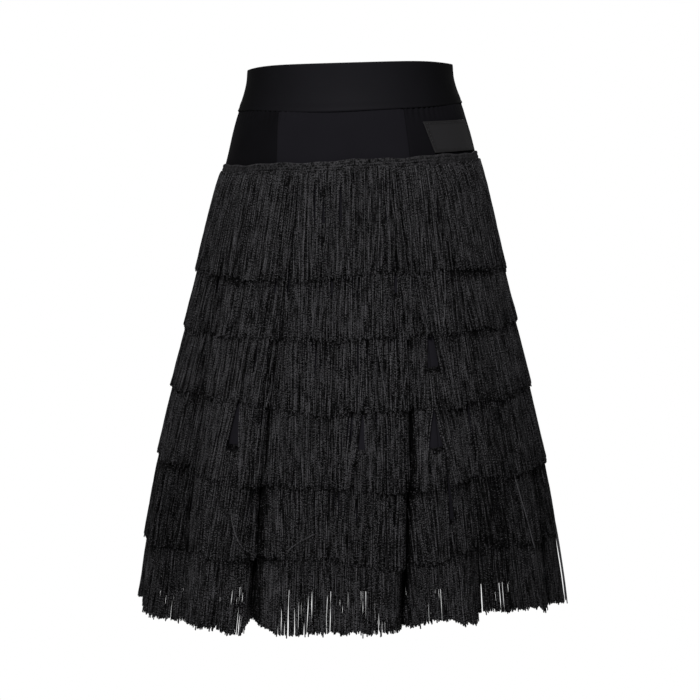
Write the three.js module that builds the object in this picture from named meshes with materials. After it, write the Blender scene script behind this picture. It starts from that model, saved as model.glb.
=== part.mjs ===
// A fringed Latin dance skirt, worn shape with no wearer: a wide waistband, six flared gores that hang in
// flutes, six tiers of cut fringe sewn round them, and a plain woven label on the left hip.
// Millimetres, +Z up, the front faces -Y. The origin is the centre of the waist, level with the band's top edge.
// Angles run round the body in degrees, from 0 at the front to +90 at +X. Drops are heights below the origin.
import * as THREE from "three";

// Driving sizes
const BAND_HEIGHT = 52;
const BAND_THICKNESS = 3;
const BAND_COLUMNS = 72;
const BAND_SIDE_DIP = 5;
const CLOTH_THICKNESS = 1.5;
const SEAM_GAP = 0.34;
const TAPE_HEIGHT = 15;
const TAPE_THICKNESS = 1;
const TAPE_OFF_CLOTH = 0.65;
const LOCK_THICKNESS = 1.4;
const LOCK_SHARE = 0.72; // of the distance from one lock to the next
const LOCK_STRIPS = 3; // flat strips of cloth under one lock
const LOCK_NARROWING = 0.06; // of its width, taken off each side at the tip
const LOCK_LEVELS = [0.5, 1]; // where a lock bends, as shares of its free length
const SHARPEST_CORNER = 0.6; // cosine beyond which a corner moves out no further
const FRINGE_FLARE = 0.042; // how far fringe stands off the cloth, for each millimetre below its tape
const TIP_UNEVENNESS = 4;
const LABEL = { from: 43, to: 80, slant: 4, top: 70, bottom: 108, off: 0.65, thickness: 0.8, columns: 8 };

// The waistband's outer edge, from its top fold to its seam. halfWidth runs along X and halfDepth along Y.
// tilt is the rise towards +X, and lift the rise of both sides above the front and back.
const BAND_SECTIONS = [
  { drop: 0, halfWidth: 121.5, halfDepth: 90, tilt: 3.5, lift: 0 },
  { drop: 18, halfWidth: 123, halfDepth: 91, tilt: 3.5, lift: 0 },
  { drop: 36, halfWidth: 127.5, halfDepth: 93.5, tilt: 4, lift: 0 },
  { drop: BAND_HEIGHT, halfWidth: 133.5, halfDepth: 97.5, tilt: 4.5, lift: 0 },
];

// The gores' outer face. flare is the share of each fold's full depth.
const CLOTH_SECTIONS = [
  { drop: BAND_HEIGHT + SEAM_GAP, halfWidth: 132, halfDepth: 96, tilt: 4.5, lift: 0, flare: 0 },
  { drop: 82, halfWidth: 140.5, halfDepth: 102, tilt: 6, lift: 0, flare: 0 },
  { drop: 112, halfWidth: 148, halfDepth: 108.5, tilt: 8, lift: 0, flare: 0 },
  { drop: 145, halfWidth: 157, halfDepth: 115, tilt: 7, lift: 1, flare: 0 },
  { drop: 182, halfWidth: 165, halfDepth: 122, tilt: 5, lift: 2, flare: 0.02 },
  { drop: 264, halfWidth: 181, halfDepth: 142, tilt: 3, lift: 5, flare: 0.13 },
  { drop: 350, halfWidth: 199.5, halfDepth: 164, tilt: 3, lift: 9, flare: 0.34 },
  { drop: 438, halfWidth: 219, halfDepth: 186, tilt: 1, lift: 8, flare: 0.58 },
  { drop: 518, halfWidth: 235, halfDepth: 204, tilt: 0, lift: 2, flare: 0.8 },
  { drop: 594, halfWidth: 245, halfDepth: 217, tilt: 0, lift: -3, flare: 1 },
];

// Flutes of the flared cloth: the angle of each fold's deepest line, and how far it goes in at the hem.
const FOLDS = [
  { angle: -172, depth: 40, spread: 6.8 },
  { angle: -145, depth: 36, spread: 6.8 },
  { angle: -114, depth: 32, spread: 6.8 },
  { angle: -80, depth: 14, spread: 6 },
  { angle: -52, depth: 24, spread: 6 },
  { angle: -25.5, depth: 46, spread: 6 },
  { angle: 21, depth: 40, spread: 6 },
  { angle: 49, depth: 34, spread: 6 },
  { angle: 76, depth: 18, spread: 6 },
  { angle: 108, depth: 34, spread: 6.8 },
  { angle: 135, depth: 38, spread: 6.8 },
  { angle: 162, depth: 38, spread: 6.8 },
];

// The cut pieces of the skirt, and how many locks of fringe cross each.
const GORES = [
  { name: "gore_front", from: -32, to: 31, locks: 9 },
  { name: "gore_front_left", from: 31, to: 90, locks: 7 },
  { name: "gore_back_left", from: 90, to: 145, locks: 6 },
  { name: "gore_back", from: 145, to: 215, locks: 7 },
  { name: "gore_back_right", from: 215, to: 270, locks: 5 },
  { name: "gore_front_right", from: 270, to: 328, locks: 7 },
];

// Each tier of fringe, by the top of its tape and the tips of its strands.
const TIERS = [
  { name: "fringe_tier_1", tape: 112, tips: 245 },
  { name: "fringe_tier_2", tape: 182, tips: 311 },
  { name: "fringe_tier_3", tape: 264, tips: 396 },
  { name: "fringe_tier_4", tape: 350, tips: 478 },
  { name: "fringe_tier_5", tape: 438, tips: 566 },
  { name: "fringe_tier_6", tape: 518, tips: 642 },
];

// Materials
const jersey = new THREE.MeshStandardMaterial({ color: 0x1b1b1e, roughness: 0.62, metalness: 0 });
const bandJersey = new THREE.MeshStandardMaterial({ color: 0x1c1b1f, roughness: 0.55, metalness: 0 });
const rayon = new THREE.MeshStandardMaterial({ color: 0x232325, roughness: 0.5, metalness: 0 });
const labelSatin = new THREE.MeshStandardMaterial({ color: 0x262426, roughness: 0.4, metalness: 0 });

const radians = THREE.MathUtils.degToRad;

// How far the folds draw the hem in at an angle.
function foldDepth(angle) {
  let depth = 0;
  for (const fold of FOLDS) {
    const away = THREE.MathUtils.euclideanModulo(angle - fold.angle + 180, 360) - 180;
    depth += fold.depth * Math.exp(-((away / fold.spread) ** 2));
  }
  return depth;
}

// The point of one section at an angle, moved in along the ellipse's normal by its folds.
function sectionPoint(section, angle) {
  const sine = Math.sin(radians(angle));
  const cosine = Math.cos(radians(angle));
  const normal = new THREE.Vector3(sine / section.halfWidth, -cosine / section.halfDepth, 0).normalize();
  const foldedIn = (section.flare ?? 0) * foldDepth(angle);
  return new THREE.Vector3(
    section.halfWidth * sine,
    -section.halfDepth * cosine,
    section.tilt * sine + section.lift * sine ** 2 - section.drop,
  ).addScaledVector(normal, -foldedIn);
}

// The level direction that faces out of the cloth there.
function sectionNormal(section, angle) {
  const step = 0.4;
  const along = sectionPoint(section, angle + step).sub(sectionPoint(section, angle - step));
  return new THREE.Vector3(along.y, -along.x, 0).normalize();
}

// The two sections that hold a drop, or the last two for one below them.
function sectionsAt(drop) {
  const found = CLOTH_SECTIONS.findIndex((section) => section.drop >= drop);
  const lower = found < 0 ? CLOTH_SECTIONS.length - 1 : Math.max(found, 1);
  return [CLOTH_SECTIONS[lower - 1], CLOTH_SECTIONS[lower]];
}

// The cloth's point and normal at an angle and any drop.
function clothAt(angle, drop) {
  const [upper, below] = sectionsAt(drop);
  const share = (drop - upper.drop) / (below.drop - upper.drop);
  const normal = sectionNormal(upper, angle).lerp(sectionNormal(below, angle), Math.min(share, 1));
  return {
    point: sectionPoint(upper, angle).lerp(sectionPoint(below, angle), share),
    normal: normal.normalize(),
  };
}

function movedOut({ point, normal }, distance) {
  return point.clone().addScaledVector(normal, distance);
}

// A closed mesh from points and quads. Quads are counter-clockwise seen from outside.
function quadGeometry(points, quads) {
  const geometry = new THREE.BufferGeometry();
  geometry.setAttribute("position", new THREE.Float32BufferAttribute(points.flatMap((p) => p.toArray()), 3));
  geometry.setIndex(quads.flatMap(([a, b, c, d]) => [a, b, c, a, c, d]));
  geometry.computeVertexNormals();
  return geometry;
}

// A wall between two grids of points, outer[column][row] and inner[column][row]. Columns run towards +X
// at the front and rows run down. A closed wall joins its last column to its first.
function wallGeometry(outer, inner, closed) {
  const columns = outer.length;
  const rows = outer[0].length;
  const out = (c, r) => (c % columns) * rows + r;
  const into = (c, r) => columns * rows + out(c, r);
  const quads = [];
  for (let c = 0; c < (closed ? columns : columns - 1); c++) {
    for (let r = 0; r < rows - 1; r++) {
      quads.push([out(c, r), out(c, r + 1), out(c + 1, r + 1), out(c + 1, r)]);
      quads.push([into(c, r), into(c + 1, r), into(c + 1, r + 1), into(c, r + 1)]);
    }
    const last = rows - 1;
    quads.push([out(c, 0), out(c + 1, 0), into(c + 1, 0), into(c, 0)]);
    quads.push([out(c, last), into(c, last), into(c + 1, last), out(c + 1, last)]);
  }
  if (!closed) {
    const end = columns - 1;
    for (let r = 0; r < rows - 1; r++) {
      quads.push([out(0, r), into(0, r), into(0, r + 1), out(0, r + 1)]);
      quads.push([out(end, r), out(end, r + 1), into(end, r + 1), into(end, r)]);
    }
  }
  return quadGeometry([...outer.flat(), ...inner.flat()], quads);
}

// The waistband: one closed loop of doubled jersey over elastic, a little lower at the sides.
function waistband() {
  const outer = [];
  const inner = [];
  for (let c = 0; c < BAND_COLUMNS; c++) {
    const angle = (360 * c) / BAND_COLUMNS;
    const outerColumn = [];
    const innerColumn = [];
    for (const section of BAND_SECTIONS) {
      const dip = BAND_SIDE_DIP * Math.sin(radians(angle)) ** 6 * (1 - section.drop / BAND_HEIGHT);
      const edge = { point: sectionPoint(section, angle), normal: sectionNormal(section, angle) };
      edge.point.z -= dip;
      outerColumn.push(edge.point);
      innerColumn.push(movedOut(edge, -BAND_THICKNESS));
    }
    outer.push(outerColumn);
    inner.push(innerColumn);
  }
  return wallGeometry(outer, inner, true);
}

// Angles of the gore's columns, evenly spaced along its hem: each lock's strips and then the space after it.
function goreAngles(gore) {
  const hem = CLOTH_SECTIONS.at(-1);
  const samples = 400;
  const angles = Array.from({ length: samples + 1 }, (_, i) => gore.from + ((gore.to - gore.from) * i) / samples);
  const lengths = [0];
  for (let i = 1; i <= samples; i++) {
    const step = sectionPoint(hem, angles[i]).distanceTo(sectionPoint(hem, angles[i - 1]));
    lengths.push(lengths[i - 1] + step);
  }
  const angleAt = (share) => {
    const length = share * lengths[samples];
    const i = Math.max(1, lengths.findIndex((l) => l >= length - 1e-9));
    const within = (length - lengths[i - 1]) / (lengths[i] - lengths[i - 1]);
    return THREE.MathUtils.lerp(angles[i - 1], angles[i], within);
  };
  const columns = [];
  for (let lock = 0; lock < gore.locks; lock++) {
    for (let strip = 0; strip <= LOCK_STRIPS; strip++) {
      columns.push(angleAt((lock + (strip * LOCK_SHARE) / LOCK_STRIPS) / gore.locks));
    }
  }
  columns.push(gore.to);
  return columns;
}

// One gore, from the waistband's seam to the hem, held half a seam gap off its neighbours.
function goreGeometry(gore) {
  const angles = goreAngles(gore);
  const outer = [];
  const inner = [];
  angles.forEach((angle, c) => {
    const outerColumn = [];
    const innerColumn = [];
    for (const section of CLOTH_SECTIONS) {
      const edge = { point: sectionPoint(section, angle), normal: sectionNormal(section, angle) };
      const along = new THREE.Vector3(-edge.normal.y, edge.normal.x, 0);
      if (c === 0) edge.point.addScaledVector(along, SEAM_GAP / 2);
      if (c === angles.length - 1) edge.point.addScaledVector(along, -SEAM_GAP / 2);
      outerColumn.push(edge.point);
      innerColumn.push(movedOut(edge, -CLOTH_THICKNESS));
    }
    outer.push(outerColumn);
    inner.push(innerColumn);
  });
  return wallGeometry(outer, inner, false);
}

// The columns of cloth behind each lock, and behind the space after it, the same in every tier.
const lockColumns = GORES.flatMap((gore) => {
  const angles = goreAngles(gore);
  const pitch = LOCK_STRIPS + 1;
  return Array.from({ length: gore.locks }, (_, lock) => ({
    behind: angles.slice(lock * pitch, lock * pitch + pitch),
    space: angles.slice(lock * pitch + LOCK_STRIPS, lock * pitch + pitch + 1),
  }));
});

// How far a corner at an angle moves out, so that the straight edge between the first and last of some
// columns clears the faceted cloth behind it by a distance. Below the hem it is as at the hem.
function cornerOffset(columns, angle, drop, distance) {
  const [upper, below] = sectionsAt(drop);
  const share = Math.min((drop - upper.drop) / (below.drop - upper.drop), 1);
  const at = (from, to) => sectionPoint(upper, from).lerp(sectionPoint(below, to), share);
  const first = at(columns[0], columns[0]);
  const chord = at(columns.at(-1), columns.at(-1)).sub(first);
  const facing = new THREE.Vector3(chord.y, -chord.x, 0).normalize();
  let bulge = 0;
  for (let i = 1; i < columns.length; i++) {
    for (const point of [at(columns[i - 1], columns[i]), at(columns[i], columns[i])]) {
      bulge = Math.max(bulge, point.sub(first).dot(facing));
    }
  }
  const square = clothAt(angle, drop).normal.dot(facing);
  return (distance + bulge) / Math.max(square, SHARPEST_CORNER);
}

// A repeatable number from -1 to 1 for a tier and a lock.
function unevenness(tier, lock) {
  const wave = Math.sin(tier * 127.1 + lock * 311.7) * 43758.5453;
  return 2 * (wave - Math.floor(wave)) - 1;
}

// One tier of fringe: a tape round the skirt, and flat locks of strands that hang from its lower edge.
function fringeGeometry(tier, tierIndex) {
  const points = [];
  const quads = [];
  const tapeEnd = tier.tape + TAPE_HEIGHT;

  // The numbers of an outer and an inner point, which clear the cloth behind some runs of columns.
  const pair = (angle, drop, runs, thickness) => {
    const distance = TAPE_OFF_CLOTH + Math.max(0, drop - tapeEnd) * FRINGE_FLARE;
    const offset = (d) => Math.max(...runs.map((run) => cornerOffset(run, angle, drop, d)));
    const cloth = clothAt(angle, drop);
    points.push(movedOut(cloth, offset(distance + thickness)), movedOut(cloth, offset(distance)));
    return [points.length - 2, points.length - 1];
  };

  // A lock's first and last pair at the tape's top and foot.
  const ends = lockColumns.map(({ behind, space }, i) => {
    const before = lockColumns.at(i - 1).space;
    return [tier.tape, tapeEnd].map((drop) => [
      pair(behind[0], drop, [behind, before], TAPE_THICKNESS),
      pair(behind.at(-1), drop, [behind, space], TAPE_THICKNESS),
    ]);
  });

  // The four sides of a stretch of lock or tape between two levels of [outer, inner] pairs.
  const faces = ([[ao, ai], [bo, bi]], [[co, ci], [eo, ei]]) => ({
    front: [ao, co, eo, bo],
    back: [ai, bi, ei, ci],
    start: [ao, ai, ci, co],
    end: [bo, eo, ei, bi],
  });

  lockColumns.forEach(({ behind }, i) => {
    const [top, foot] = ends[i];
    const [nextTop, nextFoot] = ends[(i + 1) % ends.length];
    const spaceTop = [top[1], nextTop[0]];
    const spaceFoot = [foot[1], nextFoot[0]];
    const lockTape = faces(top, foot);
    const spaceTape = faces(spaceTop, spaceFoot);
    quads.push(lockTape.front, lockTape.back, spaceTape.front, spaceTape.back);
    for (const [[ao, ai], [bo, bi]] of [top, spaceTop]) quads.push([ao, bo, bi, ai]);
    const [[ao, ai], [bo, bi]] = spaceFoot;
    quads.push([ao, ai, bi, bo]);

    const tip = tier.tips + TIP_UNEVENNESS * unevenness(tierIndex, i);
    let above = foot;
    for (const share of LOCK_LEVELS) {
      const drop = THREE.MathUtils.lerp(tapeEnd, tip, share);
      const narrow = (behind.at(-1) - behind[0]) * LOCK_NARROWING * share;
      const level = [behind[0] + narrow, behind.at(-1) - narrow].map((angle) =>
        pair(angle, drop, [behind], LOCK_THICKNESS),
      );
      const sides = faces(above, level);
      quads.push(sides.front, sides.back, sides.start, sides.end);
      above = level;
    }
    const [[co, ci], [eo, ei]] = above;
    quads.push([co, ci, ei, eo]);
  });
  return quadGeometry(points, quads);
}

// A plain woven label, left bare, lying on the left hip.
function labelGeometry() {
  const outer = [];
  const inner = [];
  const middle = CLOTH_SECTIONS[1].drop;
  for (let c = 0; c <= LABEL.columns; c++) {
    const cloth = [LABEL.top, middle, LABEL.bottom].map((drop) => {
      const leaned = (LABEL.slant * (drop - LABEL.top)) / (LABEL.bottom - LABEL.top);
      return clothAt(THREE.MathUtils.lerp(LABEL.from, LABEL.to, c / LABEL.columns) + leaned, drop);
    });
    outer.push(cloth.map((edge) => movedOut(edge, LABEL.off + LABEL.thickness)));
    inner.push(cloth.map((edge) => movedOut(edge, LABEL.off)));
  }
  return wallGeometry(outer, inner, false);
}

const skirt = new THREE.Group();
function addPiece(name, geometry, material) {
  const mesh = new THREE.Mesh(geometry, material);
  mesh.name = name;
  skirt.add(mesh);
}

addPiece("waistband", waistband(), bandJersey);
for (const gore of GORES) addPiece(gore.name, goreGeometry(gore), jersey);
TIERS.forEach((tier, i) => addPiece(tier.name, fringeGeometry(tier, i), rayon));
addPiece("label", labelGeometry(), labelSatin);

export default skirt;
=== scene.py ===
# A fringed Latin dance skirt, filled out as if worn: waistband, six fluted gores, six tiers of fringe and a
# bare woven label. Metres, +Z up, the front faces -Y, and the origin is the centre of the waist.
# Angles run round the body in degrees, from 0 at the front to +90 at +X. Drops are heights below the origin.
# Tiers and flutes are counted from 0 in every table.
import math

import bpy
import numpy as np
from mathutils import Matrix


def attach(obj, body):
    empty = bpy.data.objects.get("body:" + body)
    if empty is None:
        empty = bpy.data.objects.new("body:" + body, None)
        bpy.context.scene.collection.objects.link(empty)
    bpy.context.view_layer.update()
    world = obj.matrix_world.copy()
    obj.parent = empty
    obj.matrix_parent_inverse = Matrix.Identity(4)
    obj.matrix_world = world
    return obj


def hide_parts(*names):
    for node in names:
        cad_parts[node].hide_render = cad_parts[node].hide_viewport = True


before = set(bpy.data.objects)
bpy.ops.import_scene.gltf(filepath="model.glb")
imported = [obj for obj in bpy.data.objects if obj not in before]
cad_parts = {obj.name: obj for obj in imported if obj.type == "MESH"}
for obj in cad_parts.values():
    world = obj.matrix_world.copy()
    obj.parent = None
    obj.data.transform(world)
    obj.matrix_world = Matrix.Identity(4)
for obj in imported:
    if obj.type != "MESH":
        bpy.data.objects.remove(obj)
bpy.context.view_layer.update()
BODY = "root"
rng = np.random.default_rng(20)

# Sizes, those of the solids, though the cloth is a little thinner
BAND_LENGTH = 0.66
BAND_HEIGHT = 0.052
BAND_THICKNESS = 0.003
BAND_SIDE_DIP = 0.005
BAND_EDGE_RADIUS = 0.0013
SEAM_GAP = 0.00034
CLOTH_THICKNESS = 0.0013
TAPE_HEIGHT = 0.015
HEM_DROP = 0.594

# The band's outer face, from its fold to its seam.
# Columns: drop, half width, half depth, rise towards +X, rise of both sides.
BAND_SECTIONS = np.array([
    (0.000, 0.1215, 0.0900, 0.0035, 0),
    (0.018, 0.1230, 0.0910, 0.0035, 0),
    (0.036, 0.1275, 0.0935, 0.0040, 0),
    (0.052, 0.1335, 0.0975, 0.0045, 0),
])

# The gores' outer face, and past the hem for the fringe.
# Columns: drop, half width, half depth, rise towards +X, rise of both sides, share of each flute's depth.
CLOTH_SECTIONS = np.array([
    (0.05234, 0.1320, 0.0960, 0.0045, 0.000, 0.00),
    (0.082, 0.1405, 0.1020, 0.0060, 0.000, 0.00),
    (0.112, 0.1480, 0.1085, 0.0080, 0.000, 0.00),
    (0.145, 0.1570, 0.1150, 0.0070, 0.001, 0.00),
    (0.182, 0.1650, 0.1220, 0.0050, 0.002, 0.02),
    (0.264, 0.1810, 0.1420, 0.0030, 0.005, 0.13),
    (0.350, 0.1995, 0.1640, 0.0030, 0.009, 0.34),
    (0.438, 0.2190, 0.1860, 0.0010, 0.008, 0.58),
    (0.518, 0.2350, 0.2040, 0.0000, 0.002, 0.80),
    (0.594, 0.2450, 0.2170, 0.0000, -0.003, 1.00),
    (0.670, 0.2540, 0.2290, 0.0000, -0.006, 1.18),
])

# Columns: angle of a flute, how far it goes in at the hem, its spread in degrees, how much it leans to one
# side, and how many degrees it turns for each metre down.
FLUTES = np.array([
    (-172, 0.040, 6.8, 0, 0),
    (-145, 0.036, 6.8, 0, 0),
    (-114, 0.032, 6.8, 0, 0),
    (-80, 0.014, 6.0, 0, 0),
    (-52, 0.024, 6.0, 0, 0),
    (-21.2, 0.050, 2.6, -0.72, 0),
    (21.6, 0.054, 2.6, 0, -18),
    (44, 0.026, 6.0, 0, 0),
    (76, 0.012, 6.0, 0, 0),
    (108, 0.034, 6.8, 0, 0),
    (135, 0.038, 6.8, 0, 0),
    (162, 0.038, 6.8, 0, 0),
])
# The drop at which a turning flute is at its own angle
FLUTE_MIDDLE = 0.5
# The two deep front flutes, and the sharp folds beside them: how many spreads away, and how wide in degrees
DEEP_FLUTES = [5, 6]
LIP_SPREADS = 1.5
LIP_WIDTH = 1.5

# Each gore: name, first and last angle, its tone, and its cut: widest width, length and flat area.
GORES = [
    # The front and back gores' tones are lighter and the side gores' darker: painted light and shade.
    ("gore_front", -32, 31, 0.94, 0.43, 0.56, 0.145),
    ("gore_front_left", 31, 90, 0.54, 0.25, 0.56, 0.102),
    ("gore_back_left", 90, 145, 0.36, 0.26, 0.56, 0.098),
    ("gore_back", 145, 215, 0.76, 0.35, 0.56, 0.138),
    ("gore_back_right", 215, 270, 0.32, 0.24, 0.56, 0.095),
    ("gore_front_right", 270, 328, 0.33, 0.24, 0.56, 0.099),
]

# Each tier: the drop of its tape's top and of its tips.
TIERS = [
    (0.112, 0.245),
    (0.182, 0.311),
    (0.264, 0.396),
    (0.350, 0.478),
    (0.438, 0.566),
    (0.518, 0.642),
]

# Where a tier's strands part and show the cloth.
# Columns: tier, angle, half gap at the tips, reach each side, the share of the strands' length above the
# gap, and how far the gap leans to one side.
PARTINGS = [
    (3, -34.0, 0.0140, 0.018, 0.12, 0.0045),
    (2, 31.5, 0.0118, 0.018, 0.12, -0.0020),
    (3, 30.0, 0.0200, 0.020, 0.30, -0.0060),
    (3, 7.4, 0.0122, 0.010, 0.24, 0),
    (4, 32.6, 0.0065, 0.012, 0.10, 0),
    (4, -66, 0.0050, 0.015, 0.12, 0),
    (3, 64, 0.0050, 0.015, 0.12, 0),
    (2, 122, 0.0085, 0.020, 0.12, 0),
    (3, 148, 0.0100, 0.020, 0.12, 0),
    (3, -159, 0.0090, 0.020, 0.12, 0),
    (4, -129, 0.0085, 0.020, 0.12, 0),
    (2, -100, 0.0070, 0.016, 0.12, 0),
]

# Flutes where painted shade darkens the strands and headings.
# Columns: tier, flute, degrees before and after its deepest line, and how dark the painted shade is.
DARK_FLUTES = [
    (3, 5, 2.8, 1.8, 0.70),
    (4, 5, 2.8, 2.6, 0.70),
    (5, 5, 2.8, 2.9, 0.80),
    (3, 6, 0.8, 2.2, 0.90),
    (4, 6, 2.2, 2.0, 1.05),
    (5, 6, 3.0, 2.2, 1.15),
    (2, 7, -5, 16, 0.07),
    (3, 7, -6, 16, 0.09),
    (4, 7, 6, 9, 0.17),
    (5, 7, 8, 10, 0.17),
    (4, 10, 1.4, 1.4, 2.4),
    (5, 10, 1.8, 1.8, 2.4),
    (4, 1, 1.4, 1.4, 2.4),
    (5, 1, 1.8, 1.8, 2.4),
    (5, 11, 1.2, 1.2, 2.4),
    (5, 2, 1.2, 1.2, 2.4),
]

# Where strands leave the heading at a slant and then fall straight.
# Columns: tier, angle, half width in degrees, slant.
ROOT_CURVES = [
    (0, 56, 15, -0.0050),
    (0, -58, 12, 0.0030),
    (1, 70, 12, -0.0030),
    (0, 150, 15, -0.0040),
]

# How far each tier's tips hang below its mean, in millimetres: pairs of angle and change.
TRIM = [
    [
        (-180, 0), (-130, -2), (-100, 2), (-70, -1), (-32, 3), (-8, 2), (6, -5), (48, -4), (86, 4),
        (120, -2), (150, 3),
    ],
    [
        (-180, 3), (-120, -2), (-74, 4), (-30, 5), (3, 4), (28, 2), (43, 3), (89, 1), (130, 4),
    ],
    [
        (-180, -3), (-110, -6), (-68, -9), (-38, -8), (-21, -4), (-4, 2), (15, -2), (39, 1), (82, -7),
        (130, -2),
    ],
    [
        (-180, 2), (-110, -8), (-69, -11), (-40, -2), (-26, 3), (-8, 0), (10, 4), (20, 9), (24, 9),
        (36, -2), (55, 0), (86, -2), (130, 3),
    ],
    [
        (-180, -4), (-100, -2), (-46, -6), (-30, -2), (-7, -11), (8, -3), (16, 6), (20, 8), (23, 0),
        (32, -9), (40, -14), (56, -14), (86, -10), (130, -4),
    ],
    [
        (-180, -6), (-100, -4), (-74, -14), (-66, -3), (-54, -1), (-40, -2), (-33, -3), (-29, 5),
        (-26, 4), (-24.6, -8), (-20, -14), (-18.4, -6), (-15, -1), (-10, 1), (-3, -3), (10, -4),
        (17, -1), (21, -5), (26, -18), (31, -17), (34, -8), (42, -4), (44, -19), (60, -17), (80, -10),
        (100, -8), (140, -4),
    ],
]

# Stretches of the lowest tier whose tips gather into tufts with gaps between: middle angle and half width,
# and how wide a tuft is.
OPEN_TUFTS = [(-12, 8), (11.5, 3), (-86, 4), (82, 3), (120, 6), (172, 7), (-150, 5)]
TUFT_WIDTHS = (0.0024, 0.0052)

# Layers of strands from the cloth outwards.
# Columns: steps down a strand, distance off the cloth, space from strand to strand, the most that a bunch
# pulls its strands together, how far tips wander, how much of the straight fall off the ridges they follow,
# and how much lighter the layer is.
# The last column paints the inner layers darker: painted shade deep in the fringe.
STRAND_LAYERS = [
    (4, 0.0010, 0.00155, 0.03, 0.0006, 0.2, -0.72),
    (6, 0.0017, 0.00155, 0.08, 0.0008, 0.7, -0.52),
    (7, 0.0024, 0.00185, 0.16, 0.0010, 1.0, -0.20),
    (9, 0.0032, 0.00225, 0.28, 0.0013, 1.1, 0.12),
]
INNER_LAYERS = 2
LOWEST = len(TIERS) - 1

# How strands hang: the share of the way to a ridge's middle, how far they stand off for each metre down, and
# how much closer the lowest tier lies on the sharp folds beside the deep flutes
STRAIGHT_FALL = 0.12
FRINGE_FLARE = 0.028
LIP_CLOSENESS = 0.6
# How far under its tape's top the lowest tier's strands are spaced evenly
LOWEST_SPACING_DROP = 0.055
# Bunches, the splits between strands and how much they open, and how uneven the tips are
BUNCH_WIDTHS = (0.005, 0.013)
SPLIT_SPACE = 0.008
SPLIT_REACH = 0.004
SPLIT_GAPS = (0.0002, 0.0019)
LOWEST_SPLITS = 0.1
TIP_UNEVENNESS = 0.0015
# Where strands start under the top of a tape that shows, and of one that is covered
SHOWN_ROOTS = (0.008, 0.014)
COVERED_ROOTS = (0.004, 0.010)
# A strand's radius, its least and greatest shares of it, and its sides
STRAND_RADIUS = 0.00072
INNER_RADII = (1.02, 1.16)
OUTER_RADII = (0.85, 1.12)
STRAND_SIDES = 3

# Tones, from 0 to 1: the strands' mean, the two powers of their spread and that spread's own mean
TONE_MEAN = 0.375
TONE_SPREAD = (1.8, 1.5)
TONE_MIDDLE = 0.545
# How much darker each tier is, and the painted shade on the strands at both sides
TIER_SHADE = [0.02, 0.015, 0.02, 0.05, 0.14, 0.09]
SIDE_SHADE = 0.16
# How much less strands differ at both sides, in grain and tone and from layer to layer
SIDE_SMOOTHING = 0.70
SIDE_CLOSENESS = 0.70
# The painted shadow under the tier above: how dark, how much that changes round the skirt, and its reach
UNDER_SHADE = 0.5
UNDER_SHADE_CHANGE = 0.4
UNDER_SHADE_REACH = 0.0025


def smooth_rows(table, drop):
    """The columns after the first, at any drops: a smooth curve through the rows, straight past the last."""
    rows = table[:, 0]
    values = table[:, 1:]
    steps = np.diff(rows)
    slopes = np.diff(values, axis=0) / steps[:, None]
    tangents = np.empty_like(values)
    tangents[0], tangents[-1] = slopes[0], slopes[-1]
    before, after = steps[:-1, None], steps[1:, None]
    tangents[1:-1] = (slopes[:-1] * after + slopes[1:] * before) / (before + after)
    drop = np.asarray(drop, float)
    i = np.clip(np.searchsorted(rows, drop, side="right") - 1, 0, len(rows) - 2)
    t = np.clip((drop - rows[i]) / steps[i], 0, 1)[..., None]
    h = steps[i][..., None]
    found = (
        (2 * t**3 - 3 * t**2 + 1) * values[i]
        + (t**3 - 2 * t**2 + t) * h * tangents[i]
        + (-2 * t**3 + 3 * t**2) * values[i + 1]
        + (t**3 - t**2) * h * tangents[i + 1]
    )
    past = np.maximum(drop - rows[-1], 0)[..., None]
    return found + past * slopes[-1]


def from_flutes(angle, drop):
    """How many degrees each angle is past the deepest line of each flute at that drop."""
    deepest = FLUTES[:, 0] + FLUTES[:, 4] * (np.asarray(drop)[..., None] - FLUTE_MIDDLE)
    return (np.asarray(angle)[..., None] - deepest + 180) % 360 - 180


def flute_shift(angle, drop):
    """How far the flutes draw the full hem in, and to the side, at some angles."""
    depth = FLUTES[:, 1] * np.exp(-((from_flutes(angle, drop) / FLUTES[:, 2]) ** 2))
    return np.sum(depth, axis=-1), np.sum(depth * FLUTES[:, 3], axis=-1)


def on_lip(angle, drop):
    """How near angles are to the sharp folds beside the deep front flutes, from 0 to 1."""
    away = np.abs(from_flutes(angle, drop)[..., DEEP_FLUTES]) - LIP_SPREADS * FLUTES[DEEP_FLUTES, 2]
    return np.exp(-((away / LIP_WIDTH) ** 2)).sum(axis=-1)


def surface_point(table, angle, drop):
    """Points of the band's or the cloth's outer face, for arrays of angles and drops of one shape."""
    angle, drop = np.broadcast_arrays(np.asarray(angle, float), np.asarray(drop, float))
    row = smooth_rows(table, drop)
    width, depth, tilt, lift = (row[..., i] for i in range(4))
    sine, cosine = np.sin(np.radians(angle)), np.cos(np.radians(angle))
    normal_x, normal_y = sine / width, -cosine / depth
    length = np.hypot(normal_x, normal_y)
    normal_x, normal_y = normal_x / length, normal_y / length
    share = row[..., 4] if row.shape[-1] > 4 else 0
    inwards, aside = (share * shift for shift in flute_shift(angle, drop))
    return np.stack(
        [
            width * sine - inwards * normal_x - aside * normal_y,
            -depth * cosine - inwards * normal_y + aside * normal_x,
            tilt * sine + lift * sine**2 - drop,
        ],
        axis=-1,
    )


def surface_normal(table, angle, drop):
    """Level directions that face out of the cloth."""
    step = 0.3
    along = surface_point(table, np.asarray(angle) + step, drop) - surface_point(
        table, np.asarray(angle) - step, drop
    )
    normal = np.stack([along[..., 1], -along[..., 0], np.zeros_like(along[..., 0])], axis=-1)
    return normal / np.linalg.norm(normal, axis=-1, keepdims=True)


def moved_out(table, angle, drop, distance):
    """Surface points moved out by a distance, which may be an array."""
    distance = np.asarray(distance, float)
    return surface_point(table, angle, drop) + surface_normal(table, angle, drop) * distance[..., None]


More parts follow.
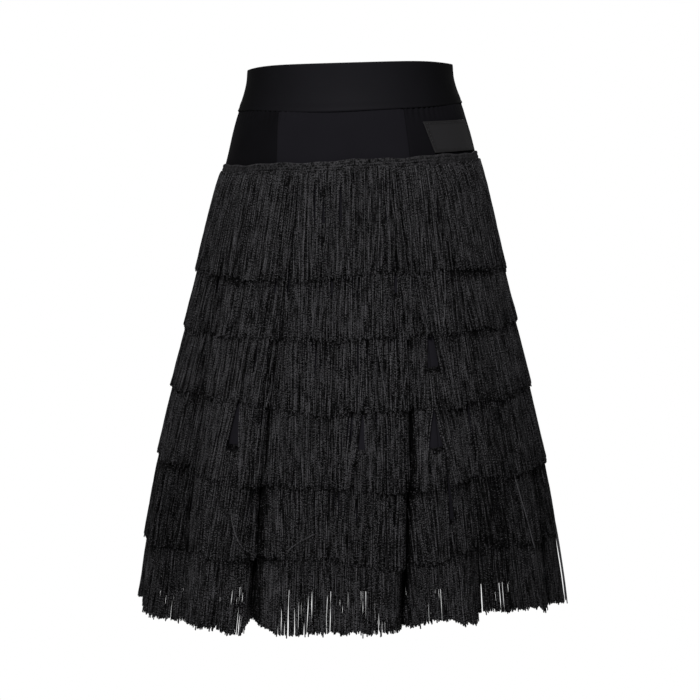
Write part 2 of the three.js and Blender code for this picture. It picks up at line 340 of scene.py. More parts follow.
def seam_wave(angle):
    """How far the waistband's lower edge wanders up and down."""
    turned = (np.asarray(angle) + 180) % 360 - 180
    return 0.0008 * np.sin(np.radians(turned * 5 + 25)) - 0.0042 * np.exp(-(((turned - 6) / 34) ** 2))


# Making cloth


def add_uv(mesh, per_vertex):
    """One UV map that gives each corner the value of its vertex."""
    while mesh.uv_layers:
        mesh.uv_layers.remove(mesh.uv_layers[0])
    corners = np.empty(len(mesh.loops), dtype=np.int32)
    mesh.loops.foreach_get("vertex_index", corners)
    layer = mesh.uv_layers.new(name="cloth")
    layer.data.foreach_set("uv", np.asarray(per_vertex, float)[corners].ravel())


def add_tone(mesh, tones):
    """How light each vertex is coloured, from 0 to 1, by its own tone and, on most pieces, painted light and
    shade, and how grainy, which is less at the sides.
    """
    layer = mesh.attributes.new("tone", "FLOAT", "POINT")
    layer.data.foreach_set("value", np.asarray(tones, np.float32))
    flat = np.empty(len(mesh.vertices) * 3)
    mesh.vertices.foreach_get("co", flat)
    sine = flat[0::3] / np.hypot(flat[0::3], flat[1::3])
    layer = mesh.attributes.new("grain", "FLOAT", "POINT")
    layer.data.foreach_set("value", (1 - SIDE_SMOOTHING * np.abs(sine)).astype(np.float32))


def apply_modifier(piece, kind, **settings):
    """Add a modifier with its settings, and apply it."""
    bpy.ops.object.modifier_add(type=kind)
    modifier = piece.modifiers[-1]
    for name, value in settings.items():
        setattr(modifier, name, value)
    bpy.ops.object.modifier_apply(modifier=modifier.name)


def cloth_sheet(name, columns, rows, shape, material, thickness, closed=False, round_edge=0):
    """A grid laid by shape(across, down), which gives points, UVs and tones, then thickened inwards."""
    bpy.ops.object.select_all(action="DESELECT")
    bpy.ops.mesh.primitive_grid_add(x_subdivisions=columns, y_subdivisions=rows, size=1)
    piece = bpy.context.object
    piece.name = name
    mesh = piece.data
    flat = np.empty(len(mesh.vertices) * 3)
    mesh.vertices.foreach_get("co", flat)
    points, uv, tones = shape(flat[0::3] + 0.5, 0.5 - flat[1::3])
    mesh.vertices.foreach_set("co", points.ravel())
    add_uv(mesh, uv)
    add_tone(mesh, tones)
    mesh.materials.append(material)
    if closed:
        bpy.ops.object.mode_set(mode="EDIT")
        bpy.ops.mesh.select_all(action="SELECT")
        bpy.ops.mesh.remove_doubles(threshold=1e-6)
        bpy.ops.object.mode_set(mode="OBJECT")
    apply_modifier(piece, "SOLIDIFY", thickness=thickness, offset=-1)
    if round_edge:
        apply_modifier(
            piece, "BEVEL", width=round_edge, segments=3, limit_method="ANGLE", angle_limit=math.radians(60)
        )
    bpy.ops.object.shade_smooth()
    return piece


# Materials


def new_material(name, colour, roughness, specular, sheen):
    """A Principled material, with its nodes and its shader to build on."""
    material = bpy.data.materials.new(name)
    material.use_nodes = True
    nodes = material.node_tree.nodes
    shader = nodes["Principled BSDF"]
    shader.inputs["Base Color"].default_value = (*colour, 1)
    shader.inputs["Roughness"].default_value = roughness
    shader.inputs["Specular IOR Level"].default_value = specular
    shader.inputs["Sheen Weight"].default_value = sheen
    shader.inputs["Sheen Roughness"].default_value = 0.4
    return material, nodes, material.node_tree.links, shader


def math_node(nodes, links, operation, first, second=None):
    """A Math node fed by sockets or numbers."""
    node = nodes.new("ShaderNodeMath")
    node.operation = operation
    for socket, value in zip(node.inputs, (first, second)):
        if value is None:
            continue
        if isinstance(value, (int, float)):
            socket.default_value = value
        else:
            links.new(value, socket)
    return node.outputs[0]


def noise(nodes, links, place, scale, detail, strength):
    """A noise pattern centred on zero, through space or along a length."""
    texture = nodes.new("ShaderNodeTexNoise")
    texture.inputs["Scale"].default_value = scale
    texture.inputs["Detail"].default_value = detail
    if place.type == "VECTOR":
        links.new(place, texture.inputs["Vector"])
    else:
        texture.noise_dimensions = "1D"
        links.new(place, texture.inputs["W"])
    centred = math_node(nodes, links, "SUBTRACT", texture.outputs["Fac"], 0.5)
    return math_node(nodes, links, "MULTIPLY", centred, strength)


def tone_ramp(nodes, links, value, dark, light, shader):
    """Base colour from a value that runs from 0 to 1."""
    ramp = nodes.new("ShaderNodeValToRGB")
    ramp.color_ramp.elements[0].color = (*dark, 1)
    ramp.color_ramp.elements[1].color = (*light, 1)
    links.new(value, ramp.inputs["Fac"])
    links.new(ramp.outputs["Color"], shader.inputs["Base Color"])


def vertex_value(nodes, name):
    """A value that the piece's mesh holds at its vertices."""
    value = nodes.new("ShaderNodeAttribute")
    value.attribute_name = name
    return value.outputs["Fac"]


def jersey_material(name, dark, light, roughness, specular, rib_scale):
    """Fine stretch jersey: columns of tiny knit ribs, crossed by rows, in a slightly mottled black, with any
    painted light and shade that the piece's tone holds.
    """
    material, nodes, links, shader = new_material(name, dark, roughness, specular, sheen=0.02)
    uv = nodes.new("ShaderNodeUVMap")
    uv.uv_map = "cloth"
    heights = []
    for direction, scale in (("X", rib_scale), ("Y", rib_scale * 0.8)):
        rib = nodes.new("ShaderNodeTexWave")
        rib.wave_type = "BANDS"
        rib.bands_direction = direction
        rib.inputs["Scale"].default_value = scale
        rib.inputs["Distortion"].default_value = 0.6
        rib.inputs["Detail Scale"].default_value = 3
        links.new(uv.outputs["UV"], rib.inputs["Vector"])
        heights.append(rib.outputs["Fac"])
    place = nodes.new("ShaderNodeTexCoord").outputs["Object"]
    mottle = noise(nodes, links, place, 26, 4, 0.2)
    dye_and_painted_light = math_node(nodes, links, "ADD", vertex_value(nodes, "tone"), mottle)
    tone_ramp(nodes, links, dye_and_painted_light, dark, light, shader)
    bump = nodes.new("ShaderNodeBump")
    bump.inputs["Strength"].default_value = 0.35
    bump.inputs["Distance"].default_value = 0.0002
    links.new(math_node(nodes, links, "MULTIPLY", heights[0], heights[1]), bump.inputs["Height"])
    links.new(bump.outputs["Normal"], shader.inputs["Normal"])
    return material


# One turn of a strand's plies
TWIST_LENGTH = 0.0030


def strand_material(name, dark, light, knitted=False):
    """Twisted rayon: plies that turn along each strand, a tone of its own for each, and small glints, which
    are painted highlights in the base colour like the light and dark along the plies' turns.
    """
    material, nodes, links, shader = new_material(name, dark, roughness=0.42, specular=0.06, sheen=0.02)
    uv = nodes.new("ShaderNodeUVMap")
    uv.uv_map = "cloth"
    split = nodes.new("ShaderNodeSeparateXYZ")
    links.new(uv.outputs["UV"], split.inputs[0])
    turns = math_node(nodes, links, "MULTIPLY", split.outputs["Y"], 2 * math.pi / TWIST_LENGTH)
    around = math_node(nodes, links, "MULTIPLY", split.outputs["X"], 4 * math.pi)
    twist = math_node(nodes, links, "SINE", math_node(nodes, links, "ADD", turns, around))
    place = nodes.new("ShaderNodeTexCoord").outputs["Object"]
    grain = place if knitted else split.outputs["Y"]
    contrast = 0.5 if knitted else 1
    streaks = noise(nodes, links, grain, 200 if knitted else 42, 1, 3.0 * contrast)
    # The specks are partly grain and partly painted glints; they also feed the bump.
    specks = noise(nodes, links, grain, 640, 1, 6.0 * contrast)
    patches = noise(nodes, links, place, 45, 1, 0.6)
    speckle = math_node(nodes, links, "ADD", math_node(nodes, links, "ADD", streaks, specks), patches)
    # The plies' light and dark along the twist is a painted highlight in the colour, and a real bump.
    plies = math_node(nodes, links, "MULTIPLY", twist, 0.16)
    pattern = math_node(nodes, links, "ADD", speckle, plies)
    pattern = math_node(nodes, links, "MULTIPLY", pattern, vertex_value(nodes, "grain"))
    dye_and_painted_light = math_node(nodes, links, "ADD", vertex_value(nodes, "tone"), pattern)
    tone_ramp(nodes, links, dye_and_painted_light, dark, light, shader)
    bump = nodes.new("ShaderNodeBump")
    bump.inputs["Strength"].default_value = 0.8
    bump.inputs["Distance"].default_value = 0.0004
    links.new(pattern, bump.inputs["Height"])
    links.new(bump.outputs["Normal"], shader.inputs["Normal"])
    return material


# The darkest and lightest colour of each finish, between which its own tone and any painted light and shade
# run
JERSEY_DYE_AND_PAINTED_LIGHT = ((0.0018, 0.0018, 0.0019), (0.0215, 0.0203, 0.0262))
BAND_DYE_AND_PAINTED_SHADE = ((0.0026, 0.0026, 0.0027), (0.0160, 0.0154, 0.0188))
LABEL_DYE = ((0.0200, 0.0192, 0.0198), (0.0395, 0.0384, 0.0412))
STRAND_DYE_AND_PAINTED_LIGHT = ((0.0010, 0.0010, 0.0011), (0.1450, 0.1425, 0.1520))
HEADING_DYE_AND_PAINTED_LIGHT = ((0.0010, 0.0010, 0.0011), (0.0900, 0.0880, 0.0940))

jersey = jersey_material("jersey", *JERSEY_DYE_AND_PAINTED_LIGHT, roughness=0.85, specular=0.06, rib_scale=260)
band_jersey = jersey_material("band jersey", *BAND_DYE_AND_PAINTED_SHADE, roughness=0.60, specular=0.05, rib_scale=260)
rayon = strand_material("rayon fringe", *STRAND_DYE_AND_PAINTED_LIGHT)
heading_rayon = strand_material("knitted heading", *HEADING_DYE_AND_PAINTED_LIGHT, knitted=True)
label_satin = jersey_material("label satin", *LABEL_DYE, roughness=0.4, specular=0.3, rib_scale=420)


# The waistband


def band_shape(across, down):
    """The folded band, soft along its length, lower at the sides of its top and wavy at its seam."""
    angle = 360 * across
    soft = 0.0005 * np.sin(np.radians(angle * 3 + 40)) + 0.0003 * np.sin(np.radians(angle * 7 + 110))
    pinch = -0.0006 * np.exp(-(((down - 0.93) / 0.05) ** 2))
    points = moved_out(BAND_SECTIONS, angle, down * BAND_HEIGHT, soft + pinch)
    points[:, 2] -= BAND_SIDE_DIP * np.sin(np.radians(angle)) ** 6 * (1 - down)
    points[:, 2] += seam_wave(angle) * down**2
    uv = np.stack([across * BAND_LENGTH, down * BAND_HEIGHT], axis=-1)
    # Its tone falls towards the sides: painted shade.
    return points, uv, 1 - 0.85 * np.sin(np.radians(angle)) ** 2


def make_waistband():
    """The band, closed into a ring, with a rounded fold and lower edge."""
    band = cloth_sheet(
        "band", 240, 22, band_shape, band_jersey, BAND_THICKNESS, closed=True, round_edge=BAND_EDGE_RADIUS
    )
    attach(band, BODY)
    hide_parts("waistband")


# The gores


# How many degrees the seam at an edge leans out at the waistband
SEAM_LEANS = {-32: -4, 328: -4}

# A gore's last edge and what laps from it under the next gore.
# Columns: degrees past the edge and depth below the cloth.
LAP = np.array([(0, 0), (0.04, 0.0021), (1.2, 0.0023)])

# Points down each gore's yoke and down its skirt, and the drops where the one ends and the other starts
YOKE_ROWS, SKIRT_ROWS = 18, 34
YOKE_END, SKIRT_START = 0.125, 0.135


def make_gore(name, start, end, tone, width, length, area):
    """One gore: a thin shell whose long edges roll in at the seams, with small puckers under the band."""
    columns = 2 * (end - start)
    laps = len(LAP) - 1
    levels = np.concatenate([
        np.linspace(BAND_HEIGHT - 0.0004, YOKE_END, YOKE_ROWS),
        np.linspace(SKIRT_START, HEM_DROP, SKIRT_ROWS),
    ])

    def shape(across, down):
        column = across * (columns + laps)
        past_edge, lapped = LAP[np.clip(np.round(column) - columns, 0, laps).astype(int)].T
        column = np.minimum(column, columns)
        across = column / columns
        drop = np.interp(down, np.linspace(0, 1, len(levels)), levels)
        lean = (1 - across) * SEAM_LEANS.get(start, 0) + across * SEAM_LEANS.get(end, 0)
        angle = start + column / 2 + lean * np.clip((0.115 - drop) / 0.06, 0, 1)
        below = drop - BAND_HEIGHT
        from_seam = np.minimum(across, 1 - across) * (end - start)
        roll = -0.0004 * np.exp(-((from_seam / 0.8) ** 2))
        tuck = -0.0007 * np.exp(-((below / 0.004) ** 2))
        gather = 0.15 + 0.85 * np.exp(-(((np.abs(angle - 360 * (angle > 180)) - 42) / 10) ** 2))
        pucker = 0.0011 * gather * np.sin(np.radians(angle * 105 + 900 * below))
        pucker = pucker * np.exp(-((below / 0.011) ** 2))
        crease = 0.0006 * np.sin(np.radians(angle * 7 + 2600 * below))
        crease = crease * np.exp(-(((below - 0.03) / 0.022) ** 2))
        points = moved_out(CLOTH_SECTIONS, angle + past_edge, drop, roll + tuck + pucker + crease - lapped)
        points[:, 2] += seam_wave(angle) * np.exp(-((below / 0.02) ** 2))
        along = surface_normal(CLOTH_SECTIONS, angle, drop)[:, [1, 0, 2]] * (-1, 1, 0)
        side = np.where(across < 1e-6, 0.5, 0) - np.where(across > 1 - 1e-6, 0.5, 0)
        points += along * side[:, None] * SEAM_GAP
        uv = np.stack([np.radians(angle) * 0.2, drop], axis=-1)
        # The tone carries the gore's painted light or shade, and is lighter below the yoke.
        return points, uv, tone * 0.75 + 0.6 * np.clip((drop - 0.15) / 0.15, 0, 1)

    rows = len(levels) - 1
    gore = cloth_sheet(name + "_cloth", columns + laps, rows, shape, jersey, CLOTH_THICKNESS)
    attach(gore, BODY)
    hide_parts(name)


# The fringe


def arc_lengths(drop):
    """Angles once round the skirt and the distance to each along the cloth at a drop."""
    angle = np.linspace(-180, 180, 2881)
    ring = surface_point(CLOTH_SECTIONS, angle, np.full(angle.shape, drop))
    steps = np.linalg.norm(np.diff(ring, axis=0), axis=1)
    return angle, np.concatenate([[0], np.cumsum(steps)])


def to_ridge(angle):
    """How far the middle of the ridge on which each angle lies is from it, but nothing deep in a flute."""
    flutes = np.concatenate([FLUTES[:, 0], [FLUTES[0, 0] + 360]])
    turned = (angle - flutes[0]) % 360 + flutes[0]
    i = np.clip(np.searchsorted(flutes, turned, side="right") - 1, 0, len(flutes) - 2)
    from_flute = np.minimum(turned - flutes[i], flutes[i + 1] - turned)
    return ((flutes[i] + flutes[i + 1]) / 2 - turned) * (1 - np.exp(-((from_flute / 1.8) ** 2)))


def bunched(place, total, narrowest, widest, most):
    """How far each strand's tip is pulled to the middle of its bunch and leans with it, and hangs lower."""
    widths = rng.uniform(narrowest, widest, int(total / narrowest) + 2)
    edges = np.concatenate([[0], np.cumsum(widths)])
    bunch = np.searchsorted(edges, place, side="right") - 1
    pull = rng.uniform(0, most, len(edges))
    lean = rng.normal(0, 0.0015, len(edges)) * min(1, most / 0.1)
    centre = (edges[bunch] + edges[bunch + 1]) / 2
    return (centre - place) * pull[bunch] + lean[bunch], rng.normal(0, 0.0012, len(edges))[bunch]


def tube_arrays(paths, radii, tone):
    """Thin closed tubes along paths[strand, step], with a pointed end at the last step."""
    strands, steps = paths.shape[:2]
    forward = np.gradient(paths, axis=1)
    forward /= np.linalg.norm(forward, axis=2, keepdims=True)
    outwards = paths * (1, 1, 0)
    outwards = outwards / np.linalg.norm(outwards, axis=2, keepdims=True)
    across = np.cross(forward, outwards)
    across /= np.linalg.norm(across, axis=2, keepdims=True)
    facing = np.cross(across, forward)
    turn = rng.uniform(0, 2 * math.pi, strands)[:, None, None]
    n = STRAND_SIDES
    phase = turn + 2 * math.pi * np.arange(n) / n
    to_side = np.cos(phase)[..., None] * across[:, :, None, :]
    to_face = np.sin(phase)[..., None] * facing[:, :, None, :]
    ring = paths[:, :, None, :] + radii[:, :, None, None] * (to_side + to_face)
    tip = paths[:, -1] + forward[:, -1] * radii[:, -1, None] * 0.9
    points = np.concatenate([ring.reshape(strands, -1, 3), tip[:, None]], axis=1)
    per = steps * n + 1
    last = (steps - 1) * n
    down = np.concatenate([[0], np.cumsum(np.linalg.norm(np.diff(paths[0], axis=0), axis=1))])
    faces, uv = [], []
    for s in range(steps - 1):
        for k in range(n):
            m = (k + 1) % n
            faces.append((s * n + k, (s + 1) * n + k, (s + 1) * n + m, s * n + m))
            uv += [(k / n, down[s]), (k / n, down[s + 1])]
            uv += [((k + 1) / n, down[s + 1]), ((k + 1) / n, down[s])]
    for k in range(n):
        faces.append((last + k, per - 1, last + (k + 1) % n))
        uv += [(k / n, down[-1]), ((k + 0.5) / n, down[-1] + 0.001), ((k + 1) / n, down[-1])]
    faces.append(tuple(range(n)))
    uv += [(k / n, 0) for k in range(n)]
    corner = np.array([v for face in faces for v in face], dtype=np.int64)
    corners = corner[None, :] + per * np.arange(strands)[:, None]
    sizes = np.tile([len(face) for face in faces], strands)
    uv = np.tile(np.array(uv), (strands, 1)).reshape(strands, -1, 2)
    uv[..., 1] += rng.uniform(0, 1, strands)[:, None]
    tones = np.broadcast_to(tone, (strands, steps))
    tones = np.concatenate([np.repeat(tones, n, axis=1), tones[:, -1:]], axis=1)
    return points.reshape(-1, 3), corners.ravel(), sizes, uv.reshape(-1, 2), tones.ravel()


def tube_mesh(name, parts, material):
    """One piece of the tubes of several layers."""
    points, corners, sizes, uv, tones = [], [], [], [], []
    for part in parts:
        corners.append(part[1] + sum(len(p) for p in points))
        points.append(part[0])
        sizes.append(part[2])
        uv.append(part[3])
        tones.append(part[4])
    points, corners, sizes = np.concatenate(points), np.concatenate(corners), np.concatenate(sizes)
    mesh = bpy.data.meshes.new(name)
    mesh.vertices.add(len(points))
    mesh.vertices.foreach_set("co", points.ravel())
    mesh.loops.add(len(corners))
    mesh.loops.foreach_set("vertex_index", corners.astype(np.int32))
    mesh.polygons.add(len(sizes))
    mesh.polygons.foreach_set("loop_start", np.concatenate([[0], np.cumsum(sizes)[:-1]]).astype(np.int32))
    mesh.update(calc_edges=True)
    mesh.polygons.foreach_set("use_smooth", np.ones(len(sizes), dtype=bool))
    layer = mesh.uv_layers.new(name="cloth")
    layer.data.foreach_set("uv", np.concatenate(uv).ravel())
    add_tone(mesh, np.concatenate(tones))
    mesh.materials.append(material)
    piece = bpy.data.objects.new(name, mesh)
    bpy.context.collection.objects.link(piece)
    return piece


def parted_drift(place, parting, gap, reach, share, start, lean):
    """How far strands are pushed off a parting, which opens from a share of their length to their tips."""
    away = place - parting
    push = (np.sign(away) * gap + lean) * np.exp(-np.abs(away) / reach)
    return push[:, None] * np.clip((share - start) / (1 - start), 0, 1)


def tip_line(tier, angle):
    """The drop that a tier's tips keep to at some angles."""
    trim_angle, trim_change = np.array(TRIM[tier], float).T
    wave = 0.0014 * np.sin(np.radians(angle * 17 + 70 * tier))
    return TIERS[tier][1] + wave + 0.001 * np.interp(angle, trim_angle, trim_change, period=360)


def flute_shade(angle, drop, tier):
    """How dark the painted shade is in the flutes at some angles and drops: 0 outside them."""
    shade = np.zeros(np.broadcast(angle, drop).shape)
    past = from_flutes(angle, drop)
    for dark_tier, flute, before, after, darkness in DARK_FLUTES:
        if dark_tier == tier:
            depth = np.minimum(past[..., flute] + before, after - past[..., flute])
            shade = np.maximum(shade, darkness * np.clip(0.5 + depth / 1.2, 0, 1))
    return shade


def in_tufts(place, share, tufts, angle):
    """How far each strand of the lowest tier belongs to an open tuft, and its drift into that tuft."""
    tuft = np.searchsorted(tufts, place)
    inwards = ((tufts[tuft] + tufts[tuft - 1]) / 2 - place) * (1.1 - 0.7 * np.sin(tuft * 2.4) ** 2)
    gathered = np.zeros(len(place))
    for middle, half in OPEN_TUFTS:
        away = (angle - middle + 180) % 360 - 180
        gathered = gathered + np.exp(-((away / half) ** 6))
    late = share ** (1.4 + 6 * np.sin(tuft * 1.7) ** 2)[:, None]
    return gathered[:, None], (inwards * gathered)[:, None] * late


def split_drift(place, total, split, gap, share, first, last):
    """How far strands are pushed off a split, which is open between two shares of their length."""
    away = (place - split + total / 2) % total - total / 2
    push = np.sign(away) * gap * np.exp(-np.abs(away) / SPLIT_REACH)
    spread = np.clip((share - first) / 0.2, 0, 1) * np.clip((last - share) / 0.15 + 1, 0, 1)
    return push[:, None] * spread


def strand_tones(tier, lighter, angle):
    """A tone of its own for each strand, which differs less at the sides, with painted shade at the sides
    and on the inner layers.
    """
    sideways = np.abs(np.sin(np.radians(angle)))
    tones = TONE_MEAN + (rng.beta(*TONE_SPREAD, len(angle)) - TONE_MIDDLE) * (1 - SIDE_SMOOTHING * sideways)
    return tones + lighter * (1 - SIDE_CLOSENESS * sideways) - TIER_SHADE[tier] - SIDE_SHADE * sideways**2


def strand_shade(tier, angle, drop):
    """The painted shade in the flutes and the painted shadow under the tips of the tier above."""
    shade = flute_shade(angle, drop, tier)
    if tier == 0:
        return shade
    under = drop - tip_line(tier - 1, angle) - 0.0005
    depth = UNDER_SHADE + UNDER_SHADE_CHANGE * np.sin(np.radians(angle * 7 + 50 * tier))
    return shade + depth * np.exp(-((under / UNDER_SHADE_REACH) ** 2))


def strand_layer(tier, layer, angle, length, splits, tufts):
    """The paths, radii and tones of one layer of a tier's strands, which bunch and kink a little."""
    steps, stand, pitch, most, wander, hang, lighter = STRAND_LAYERS[layer]
    tape = TIERS[tier][0]
    foot = tape + TAPE_HEIGHT
    total = length[-1]
    count = int(total / pitch)
    share = np.linspace(0, 1, steps + 1)[None, :]
    inner = layer < INNER_LAYERS
    jitter = 0.12 if inner else 0.35
    place = (np.arange(count) + rng.uniform(-jitter, jitter, count)) * total / count % total
    if tier == LOWEST:
        # Its strands fall straighter than the others
        most, wander, hang = most * 0.3, wander * 0.4, hang * 0.4
    pulled, lower = bunched(place, total, *BUNCH_WIDTHS, most)
    drift = (pulled + rng.normal(0, wander, count))[:, None] * share**1.4
    if tier == LOWEST:
        gathered, into_tufts = in_tufts(place, share, tufts, np.interp(place, length, angle))
        hang = hang + (0.4 - hang) * gathered
        drift = drift + into_tufts
    for split, gap, first, last in splits:
        drift = drift + split_drift(place, total, split, gap, share, first, last)
    phase = rng.uniform(0, 2 * math.pi, (count, 3))
    beats = rng.uniform(4, 15, (count, 2))
    kink = rng.uniform(0.0001, 0.0007, count)[:, None]
    drift = drift + kink * (np.sin(phase[:, :1] + share * beats[:, :1]) - np.sin(phase[:, :1]))
    for parted, parting, gap, reach, start, lean in PARTINGS:
        if parted == tier:
            middle = np.interp(parting, angle, length)
            drift = drift + parted_drift(place, middle, gap, reach, share, start, lean)
    for curved, middle, half, slant in ROOT_CURVES:
        if curved == tier:
            away = np.interp(place, length, angle) - middle
            bend = slant * np.exp(-((away / half) ** 4))
            drift = drift + bend[:, None] * np.exp(-share / 0.12)
    at = np.interp((place[:, None] + drift) % total, length, angle)
    at = at + to_ridge(at) * hang * STRAIGHT_FALL * share
    tip = tip_line(tier, at[:, -1]) + lower + rng.normal(0, TIP_UNEVENNESS, count)
    root = tape + rng.uniform(*(SHOWN_ROOTS if tier == 0 else COVERED_ROOTS), count)
    drop = root[:, None] + (tip - root)[:, None] * share
    flutter = np.abs(rng.normal(0, 0.0007, count))[:, None] * share**2
    off = stand + np.maximum(0, drop - foot) * FRINGE_FLARE + flutter
    off = off + 0.0003 * np.sin(phase[:, 1:2] + share * beats[:, 1:])
    if tier == LOWEST:
        off = off * (1 - LIP_CLOSENESS * on_lip(at, drop))
    paths = moved_out(CLOTH_SECTIONS, at, drop, off)
    thick = STRAND_RADIUS * rng.uniform(*(INNER_RADII if inner else OUTER_RADII), count)[:, None]
    tones = strand_tones(tier, lighter, at[:, -1])[:, None] - strand_shade(tier, at, drop)
    return paths, thick * (1 + 0.2 * share**12), tones


def make_strands(tier):
    """The loose strands of one tier."""
    angle, length = arc_lengths(TIERS[tier][0] + (LOWEST_SPACING_DROP if tier == LOWEST else TAPE_HEIGHT))
    total = length[-1]
    count = int(total / SPLIT_SPACE)
    first = rng.uniform(0, 0.75, count)
    splits = np.stack([
        np.sort(rng.uniform(0, total, count)),
        rng.uniform(*SPLIT_GAPS, count) * (LOWEST_SPLITS if tier == LOWEST else 1),
        first, first + rng.uniform(0.25, 0.9, count),
    ], axis=-1)
    tufts = np.concatenate([[0], np.cumsum(rng.uniform(*TUFT_WIDTHS, int(total / TUFT_WIDTHS[0])))])
    layers = range(len(STRAND_LAYERS))
    parts = [tube_arrays(*strand_layer(tier, layer, angle, length, splits, tufts)) for layer in layers]
    piece = tube_mesh(f"fringe_{tier + 1}", parts, rayon)
    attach(piece, BODY)
    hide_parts(f"fringe_tier_{tier + 1}")


def make_heading(tier):
    """The knitted heading that a tier's strands hang from: knotted rows under a corded edge."""
    tape = TIERS[tier][0]
    shown = tier == 0
    columns, rows = (960, 14) if shown else (360, 6)
    knots = rng.uniform(0, 2 * math.pi, 4)

    def shape(across, down):
        angle = 360 * across - 180
        drop = tape + TAPE_HEIGHT * down
        edge = 0.0008 * np.sin(np.radians(angle * 9 + 30)) + 0.0006 * np.sin(np.radians(angle * 23))
        row = np.abs(np.sin(down * math.pi * 4))
        knot = np.abs(np.sin(np.radians(angle * 210 + 90 * np.floor(down * 4)) + knots[0]))
        uneven = 0.0003 * np.sin(np.radians(angle * 61) + knots[1] + 5 * down)
        cord = 0.0007 * np.exp(-((down / 0.09) ** 2))
        out = (0.0015 if shown else 0.0010) + 0.0007 * row * (0.4 + 0.6 * knot) + uneven + cord * shown
        points = moved_out(CLOTH_SECTIONS, angle, drop, out)
        points[:, 2] += edge * (1 - down)
        # The shown heading is painted lighter on its raised knots and corded top edge, as painted
        # highlights; the covered headings are painted dark, as painted shade under the tier above.
        tone = 0.25 + 0.3 * row * knot + 0.3 * np.exp(-((down / 0.07) ** 2)) if shown else 0.05
        # Painted shade in the flutes darkens the heading too.
        tone = tone - flute_shade(angle, drop, tier)
        uv = np.stack([np.radians(angle) * 0.2, drop], axis=-1)
        return points, uv, tone

    piece = cloth_sheet(f"heading_{tier + 1}", columns, rows, shape, heading_rayon, 0.0010, closed=True)
    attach(piece, BODY)


# Strands that have come loose and lie across the others.
# Columns: tier, first angle and share of the way down its tier, last angle and share, and how much further
# off the cloth their tips hang.
STRAYS = [
    (4, -31, 0.55, -24.5, 0.97, 0),
    (4, -13, 0.88, -6, 0.72, 0),
    (2, 12, 0.30, 15, 0.95, 0),
    (1, 40, 0.35, 36, 0.96, 0),
    (4, 58, 0.30, 63, 0.95, 0),
    (3, 110, 0.20, 116, 0.95, 0),
    (2, 160, 0.30, 154, 0.97, 0),
    (4, -170, 0.30, -164, 0.96, 0),
    (3, -125, 0.25, -131, 0.94, 0),
    (5, 88, 0.20, 88.5, 0.93, 0.0010),
    (5, 90, 0.25, 90, 0.97, 0.0020),
    (5, 93, 0.10, 92.5, 0.90, 0.0022),
    (5, 95, 0.25, 94, 0.95, 0.0018),
    (5, -83, 0.30, -84, 0.93, 0.0020),
]
# Their steps, radius, distance off the cloth at their tape and tone
STRAY_STEPS = 14
STRAY_RADIUS = 0.0008
STRAY_STAND = 0.0052
STRAY_TONE = 0.95


def make_strays():
    """A few loose strands on top of the fringe."""
    share = np.linspace(0, 1, STRAY_STEPS)
    paths = []
    for tier, first, top, last, bottom, away in STRAYS:
        tape, tips = TIERS[tier]
        fall = top + (bottom - top) * share
        drop = tape + (tips - tape) * fall
        angle = first + (last - first) * share**1.4
        off = STRAY_STAND + np.maximum(0, drop - tape - TAPE_HEIGHT) * FRINGE_FLARE
        off = off + 0.0012 * np.sin(share * math.pi) + away * share
        paths.append(moved_out(CLOTH_SECTIONS, angle, drop, off))
    paths = np.array(paths)
    radii = np.full(paths.shape[:2], STRAY_RADIUS)
    arrays = tube_arrays(paths, radii, np.full((len(paths), 1), STRAY_TONE))
    strays = tube_mesh("stray_strands", [arrays], rayon)
    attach(strays, BODY)


# The label

# Its angles along its top, how many degrees it slants to its bottom, and the drops of both
LABEL_FROM = 40.4
LABEL_TO = 77.5
LABEL_SLANT = 4
LABEL_TOP = 0.0715
LABEL_BOTTOM = 0.1095
# Its size as cut, and the width of its turned edge
LABEL_LENGTH = 0.07
LABEL_HEIGHT = 0.037
LABEL_THICKNESS = 0.0008
LABEL_EDGE = 0.0042
# The row of stitches inside its edge
STITCH_INSET = 0.0026
STITCH_LENGTH = 0.0022
STITCH_SPACE = 0.0012
STITCH_RADIUS = 0.00022
STITCH_TONE = 0.5


def label_place(across, down, out):
    """Points over the label's area, which leans with the hip."""
    angle = LABEL_FROM + (LABEL_TO - LABEL_FROM) * across + LABEL_SLANT * down
    drop = LABEL_TOP + (LABEL_BOTTOM - LABEL_TOP) * down
    return moved_out(CLOTH_SECTIONS, angle, drop, out)


def label_shape(across, down):
    """A plain woven label with a turned edge, a little loose at its lower front corner."""
    inset = np.minimum(
        np.minimum(across, 1 - across) * LABEL_LENGTH, np.minimum(down, 1 - down) * LABEL_HEIGHT
    )
    turned = 0.0003 * (inset < LABEL_EDGE)
    lifted = 0.0006 * down**4 * (1 - across) ** 2
    points = label_place(across, down, 0.0014 + turned + lifted)
    uv = np.stack([across * LABEL_LENGTH, down * LABEL_HEIGHT], axis=-1)
    return points, uv, 0.35 + 0.35 * (inset > LABEL_EDGE)


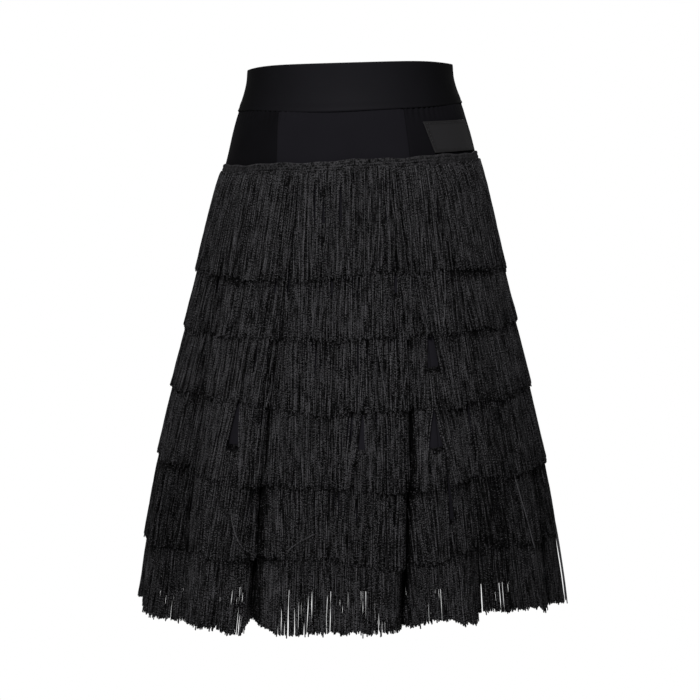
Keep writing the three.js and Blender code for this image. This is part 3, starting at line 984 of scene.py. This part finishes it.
def make_stitches():
    """Running stitches that hold the label down all round."""
    right, top = LABEL_LENGTH - STITCH_INSET, LABEL_HEIGHT - STITCH_INSET
    corners = [(STITCH_INSET, STITCH_INSET), (right, STITCH_INSET), (right, top), (STITCH_INSET, top)]
    paths = []
    for start, end in zip(corners, corners[1:] + corners[:1]):
        start, end = np.array(start), np.array(end)
        reach = np.linalg.norm(end - start)
        for begin in np.arange(0, reach - STITCH_LENGTH, STITCH_LENGTH + STITCH_SPACE):
            along_line = np.linspace(begin, begin + STITCH_LENGTH, 5)[:, None] / reach
            flat = start + (end - start) * along_line
            rise = 0.0016 + 0.0003 * np.sin(np.linspace(0, math.pi, 5))
            paths.append(label_place(flat[:, 0] / LABEL_LENGTH, flat[:, 1] / LABEL_HEIGHT, rise))
    paths = np.array(paths)
    radii = np.full(paths.shape[:2], STITCH_RADIUS)
    arrays = tube_arrays(paths, radii, np.full((len(paths), 1), STITCH_TONE))
    stitches = tube_mesh("label_stitches", [arrays], rayon)
    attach(stitches, BODY)
    return stitches


def make_label():
    """The bare label and its stitches."""
    label = cloth_sheet("woven_label", 60, 32, label_shape, label_satin, LABEL_THICKNESS)
    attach(label, BODY)
    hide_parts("label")
    stitches = make_stitches()


make_waistband()
for gore in GORES:
    make_gore(*gore)
for tier in range(len(TIERS)):
    make_heading(tier)
    make_strands(tier)
make_strays()
make_label()


# The studio

FLOOR_DROP = 2.4
FLOOR_RADIUS = 2.6
CAMERA_DISTANCE = 3.5
CAMERA_TURN = math.radians(4)
CAMERA_DOWN = math.radians(5.27)
LENS = 151.6


def make_camera():
    """The photo's view: level with the waist, a little towards the label's side, tipped down."""
    data = bpy.data.cameras.new("camera")
    data.lens = LENS
    data.sensor_width = 36
    camera = bpy.data.objects.new("camera", data)
    bpy.context.collection.objects.link(camera)
    camera.location = (
        math.sin(CAMERA_TURN) * CAMERA_DISTANCE,
        -math.cos(CAMERA_TURN) * CAMERA_DISTANCE,
        -0.018,
    )
    camera.rotation_euler = (math.pi / 2 - CAMERA_DOWN, 0, CAMERA_TURN)
    bpy.context.scene.camera = camera


def make_floor():
    """A plain white lit floor, below the hanging skirt."""
    bpy.ops.object.select_all(action="DESELECT")
    bpy.ops.mesh.primitive_circle_add(
        vertices=96, radius=FLOOR_RADIUS, fill_type="NGON", location=(0, 0, -FLOOR_DROP)
    )
    floor = bpy.context.object
    floor.name = "floor"
    material = bpy.data.materials.new("white floor")
    material.use_nodes = True
    shader = material.node_tree.nodes["Principled BSDF"]
    shader.inputs["Base Color"].default_value = (0.8, 0.8, 0.8, 1)
    shader.inputs["Roughness"].default_value = 1
    shader.inputs["Specular IOR Level"].default_value = 0
    shader.inputs["Emission Color"].default_value = (1, 1, 1, 1)
    shader.inputs["Emission Strength"].default_value = 0.55
    floor.data.materials.append(material)


def area_light(name, place, target, size, power):
    """A square soft box that faces a point."""
    data = bpy.data.lights.new(name, "AREA")
    data.shape = "SQUARE"
    data.size = size
    data.energy = power
    light = bpy.data.objects.new(name, data)
    bpy.context.collection.objects.link(light)
    light.location = place
    aim = np.array(target, float) - np.array(place, float)
    flat = math.hypot(aim[0], aim[1])
    light.rotation_euler = (math.atan2(flat, -aim[2]), 0, math.atan2(aim[1], aim[0]) - math.pi / 2)


def make_world():
    """A white room to look at that throws only a little light of its own on the skirt."""
    world = bpy.data.worlds.new("white room")
    bpy.context.scene.world = world
    world.use_nodes = True
    nodes, links = world.node_tree.nodes, world.node_tree.links
    background = nodes["Background"]
    background.inputs["Color"].default_value = (1, 1, 1, 1)
    seen = nodes.new("ShaderNodeLightPath").outputs["Is Camera Ray"]
    strength = math_node(nodes, links, "MAXIMUM", seen, 0.09)
    links.new(strength, background.inputs["Strength"])


make_camera()
make_floor()
make_world()
area_light("key", (-0.25, -2.7, 2.0), (0, 0, -0.3), 0.7, 60)
area_light("back light", (0, 2.7, 2.0), (0, 0, -0.3), 0.9, 56)
bpy.context.scene.view_settings.view_transform = "Standard"
